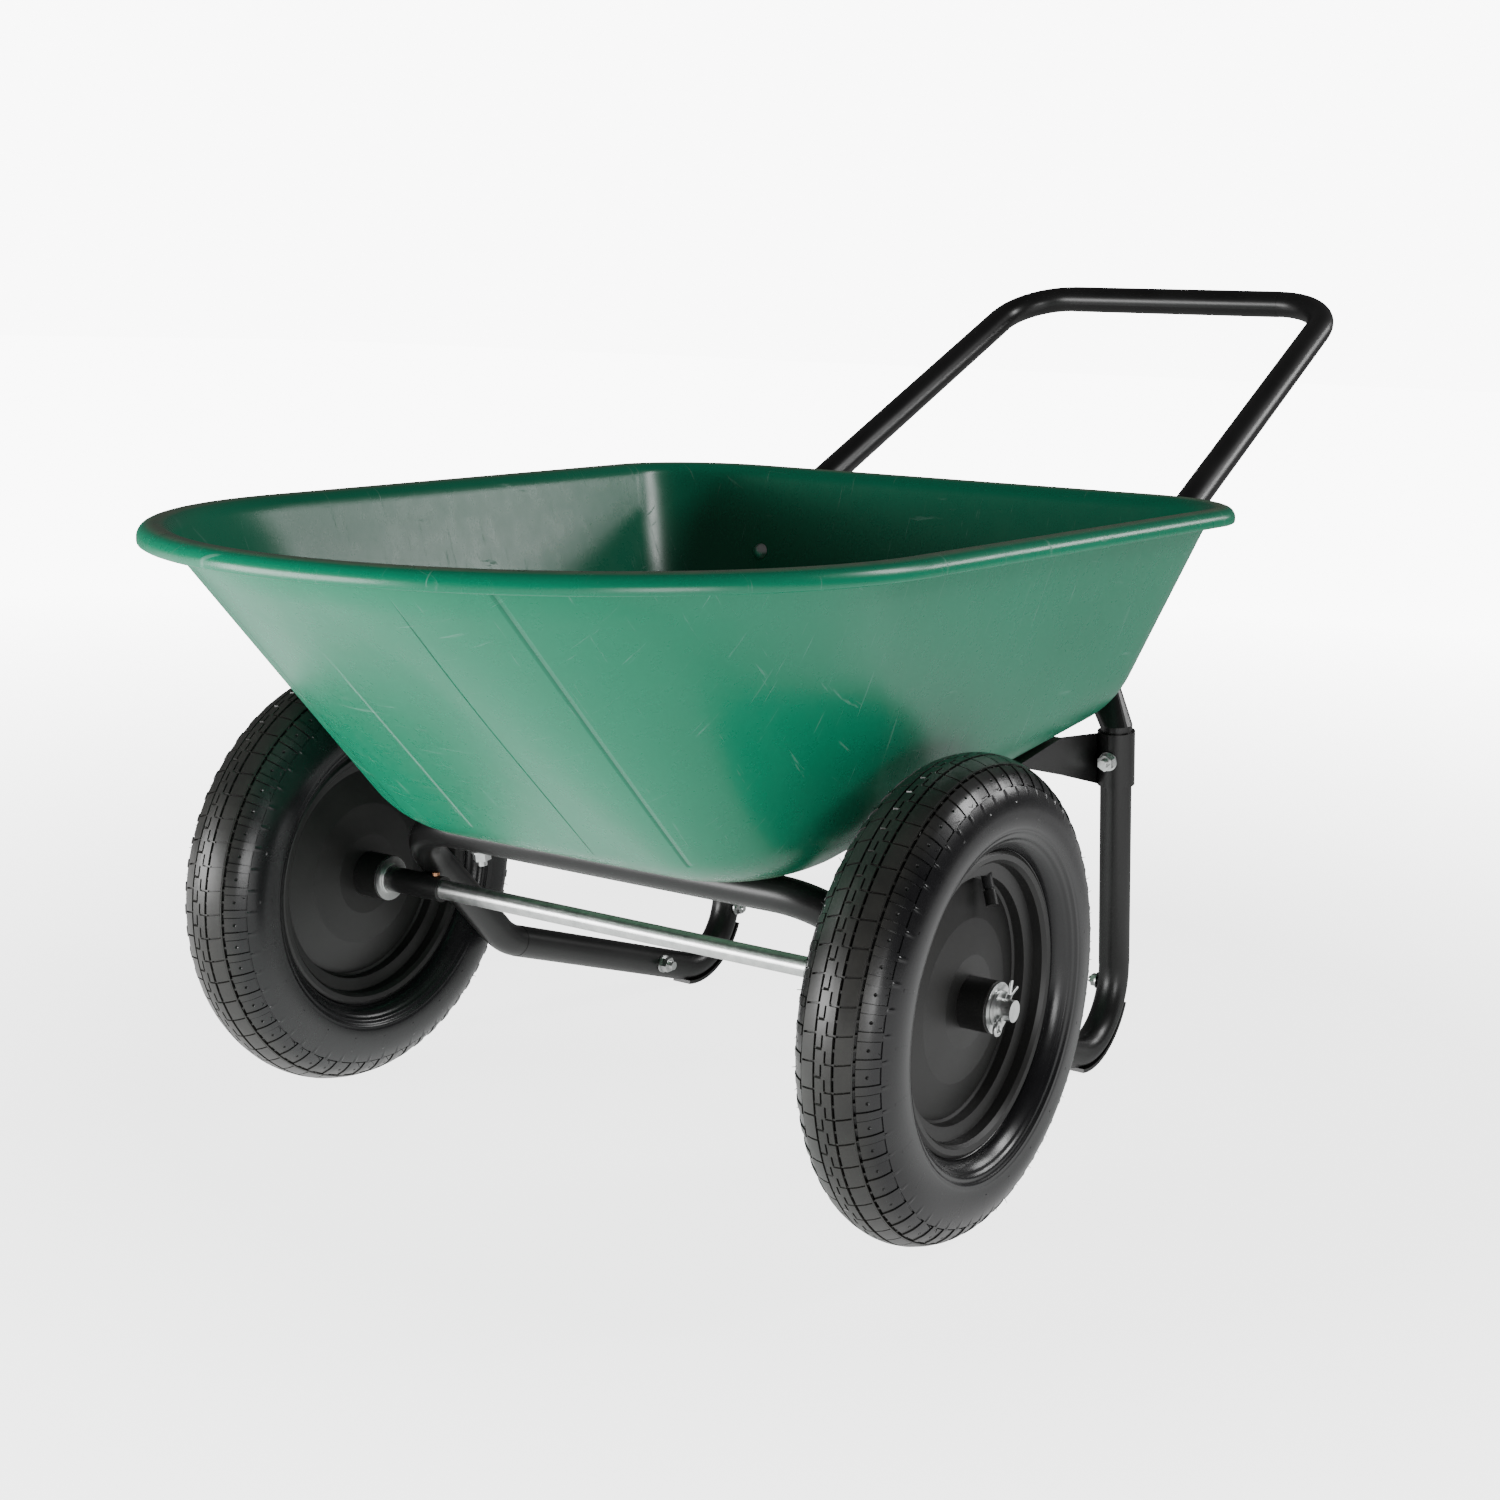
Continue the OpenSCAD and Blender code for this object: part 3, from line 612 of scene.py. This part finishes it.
# painted light: the paper glows by itself as a pool in front of the nose and a weaker pool beside the left
# wheel, which other rays see and the camera does not; camera rays see a glow that rises with distance
spot = fm.node("ShaderNodeSeparateXYZ")
fm.link(fm.coord.outputs["Object"], spot.inputs[0])
along, across = spot.outputs[0], spot.outputs[1]
front = fm.math("MULTIPLY", fm.span(along, 0, 1, -0.15, 0.30), fm.span(across, 1.15, 0.25, -0.15, 0.60))
beside = fm.math("MULTIPLY", fm.span(along, 0, 0.85, -0.85, -0.20), fm.span(across, 0, 1, 0.30, 0.50))
painted_glow_pool = fm.math("ADD", 0.12, fm.math("MAXIMUM", front, beside))
unseen = fm.math("MULTIPLY", fm.math("SUBTRACT", 1.0, seen), painted_glow_pool)
strength = fm.math("ADD", fm.math("MULTIPLY", seen, glow), unseen)
fm.link(strength, fm.bsdf.inputs["Emission Strength"])
paper = fm.ramp(floor_noise, [(0, (0.66, 0.66, 0.66)), (1, (0.70, 0.70, 0.70))])
floor.data.materials.append(fm.set(color=paper, rough=0.9))

world = bpy.data.worlds.new("studio")
bpy.context.scene.world = world
world.use_nodes = True
wt = world.node_tree
wt.nodes["Background"].inputs["Color"].default_value = (1, 1, 1, 1)
ray = wt.nodes.new("ShaderNodeLightPath")
pick = wt.nodes.new("ShaderNodeMapRange")
pick.inputs["To Min"].default_value = 0.08
pick.inputs["To Max"].default_value = 9.0
wt.links.new(ray.outputs["Is Camera Ray"], pick.inputs["Value"])
wt.links.new(pick.outputs["Result"], wt.nodes["Background"].inputs["Strength"])

# name, place, aim, width, height, power
LIGHTS = [
    ("key_low", (2.6, -1.5, 0.45), (0.2, 0, 0.35), 2.4, 0.8, 84),
    ("side_low", (1.9, 2.6, 0.42), (0.2, 0, 0.35), 1.1, 0.6, 22),
    ("corner_strip", (-1.45, 2.0, 1.86), (-0.08, -0.27, 0.45), 0.40, 0.9, 26),
    ("rear_left", (-2.3, 1.55, 1.25), (0.25, -0.27, 0.46), 0.7, 0.5, 11)]
for light in LIGHTS:
    area(*light)

cam_data = bpy.data.cameras.new("camera")
cam = bpy.data.objects.new("camera", cam_data)
bpy.context.scene.collection.objects.link(cam)
yaw, pitch, roll = 3.698357, -0.191020, 0.033483
d = Vector((math.cos(pitch) * math.cos(yaw), math.cos(pitch) * math.sin(yaw), math.sin(pitch)))
r = d.cross(Vector((0, 0, 1))).normalized()
u = r.cross(d)
right = r * math.cos(roll) + u * math.sin(roll)
up = -r * math.sin(roll) + u * math.cos(roll)
rot = Matrix((right, up, -d)).transposed()
# the camera's place is measured from the ground under the axle's centre
place = Vector((1.337042 + AXLE.x, 0.989082, 0.648449))
cam.matrix_world = Matrix.Translation(place) @ rot.to_4x4()
cam_data.sensor_width = 36
cam_data.lens = 52.624
cam_data.shift_x = -0.037194
cam_data.shift_y = -0.00235
cam_data.clip_start = 0.05
cam_data.clip_end = 100
bpy.context.scene.camera = cam
